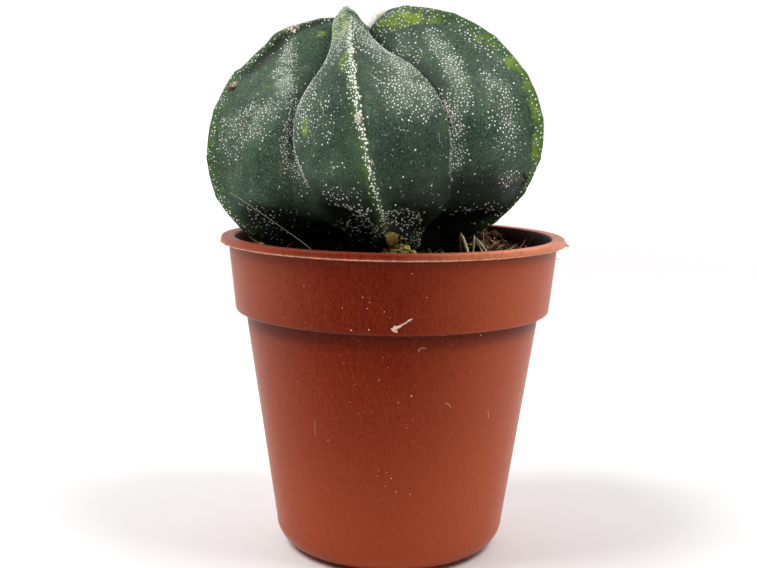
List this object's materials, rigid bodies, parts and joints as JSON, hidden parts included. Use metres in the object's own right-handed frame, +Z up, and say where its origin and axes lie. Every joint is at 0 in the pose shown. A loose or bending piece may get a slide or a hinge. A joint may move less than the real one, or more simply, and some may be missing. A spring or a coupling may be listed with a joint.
{
  "type": "potted bishop's cap cactus",
  "caption": "Ribbed round cactus with a fleck-covered stem, rooted in soil in a small tapered plastic nursery pot with a collar and drain holes.",
  "frame": {"origin": "centre of the pot's underside, on the pot's axis, in the plane that it stands on", "axes": "+Z up along the pot's axis; the front rib of the stem faces -Y"},
  "size_m": [0.0569, 0.055, 0.0875],
  "materials": {
    "pot_plastic": "terracotta-coloured satin plastic with a fine upright grain",
    "potting_soil": "dark loose peat and bark with brown fibres",
    "stem_skin": "dark blue-green plant skin, satin, dotted with white woolly flecks"
  },
  "bodies": {
    "root": {"pot": "pot_plastic", "soil": "potting_soil", "stem": "stem_skin"}
  },
  "joints": []
}
